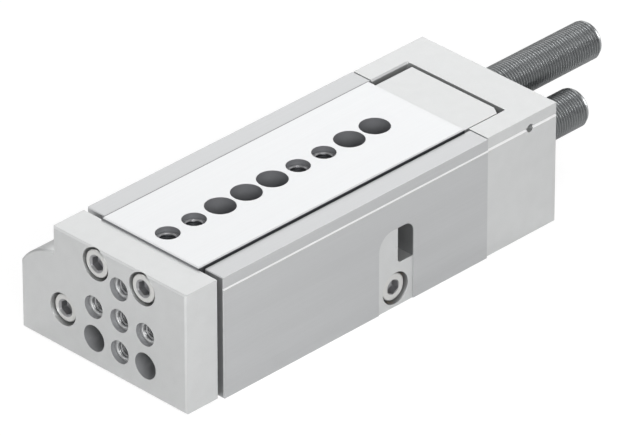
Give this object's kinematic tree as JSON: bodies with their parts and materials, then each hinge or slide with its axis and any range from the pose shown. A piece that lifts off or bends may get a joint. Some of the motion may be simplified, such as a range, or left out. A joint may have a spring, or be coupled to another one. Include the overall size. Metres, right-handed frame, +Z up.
{
  "type": "pneumatic mini slide",
  "caption": "Compact pneumatic slide table: a flat carriage in a roller guide on a block body, with a low side cylinder, a front yoke and long threaded shock absorbers behind.",
  "frame": {"origin": "middle of the housing's length on its base face, under the slide's centre line", "axes": "+X the way the slide advances, +Z up from the base to the slide's top, +Y towards the side with the clamp screw"},
  "size_m": [0.1946, 0.065, 0.0393],
  "materials": {
    "anodised_aluminium": "natural anodised, fine drawn grain",
    "machined_aluminium": "milled and natural anodised, satin",
    "ground_steel": "finely ground, bright",
    "screw_steel": "plain, satin",
    "dark_steel": "dark finished, satin",
    "raceway_steel": "hardened and polished",
    "bronze": "plain bearing bronze",
    "seal_rubber": "matt black",
    "magnet_compound": "dark bonded magnet"
  },
  "bodies": {
    "base": {"housing": "anodised_aluminium", "rear_block": "machined_aluminium", "rear_block_screws": "screw_steel", "rear_block_dowels": "raceway_steel", "cage_stop_pins": "raceway_steel", "guide_rail_left": "raceway_steel", "guide_rail_right": "raceway_steel", "rod_bearing": "bronze", "rod_wiper": "seal_rubber", "bearing_seal": "seal_rubber", "retaining_ring": "dark_steel", "cylinder_end_cap": "machined_aluminium", "end_cap_seal": "seal_rubber", "retract_absorber": "dark_steel", "absorber_lock_nut": "dark_steel", "advance_stop_pad": "raceway_steel", "clamp_bush": "bronze", "clamp_screw": "screw_steel"},
    "carriage": {"yoke_plate": "machined_aluminium", "yoke_screws": "screw_steel", "rod_screw": "screw_steel", "slide_bar": "ground_steel", "end_piece": "machined_aluminium", "end_piece_screws": "screw_steel", "retract_stop_lug": "ground_steel", "stop_lug_screws": "screw_steel", "advance_absorber": "dark_steel", "piston_rod": "raceway_steel", "piston": "machined_aluminium", "piston_seals": "seal_rubber", "piston_magnet": "magnet_compound", "piston_screw": "screw_steel"},
    "left_cage": {"roller_cage_left": "bronze", "rollers_left": "raceway_steel"},
    "right_cage": {"roller_cage_right": "bronze", "rollers_right": "raceway_steel"},
    "advance_damper": {"advance_plunger": "raceway_steel"},
    "retract_damper": {"retract_plunger": "raceway_steel"}
  },
  "joints": [
    {"name": "slide_travel", "type": "slide", "parent": "base", "child": "carriage", "axis": [1, 0, 0], "range_m": [0, 0.05]},
    {"name": "left_cage_travel", "type": "slide", "parent": "base", "child": "left_cage", "axis": [1, 0, 0], "range_m": [0, 0.025]},
    {"name": "right_cage_travel", "type": "slide", "parent": "base", "child": "right_cage", "axis": [1, 0, 0], "range_m": [0, 0.025]},
    {"name": "advance_plunger_travel", "type": "slide", "parent": "carriage", "child": "advance_damper", "axis": [1, 0, 0], "range_m": [-0.014, 0]},
    {"name": "retract_plunger_travel", "type": "slide", "parent": "base", "child": "retract_damper", "axis": [1, 0, 0], "range_m": [0, 0.014]}
  ],
  "couplings": [
    {"joint": "left_cage_travel", "follows": "slide_travel", "ratio": 0.5},
    {"joint": "right_cage_travel", "follows": "slide_travel", "ratio": 0.5},
    {"joint": "advance_plunger_travel", "follows": "slide_travel", "ratio": -0.28},
    {"joint": "retract_plunger_travel", "follows": "slide_travel", "ratio": 0.28}
  ]
}
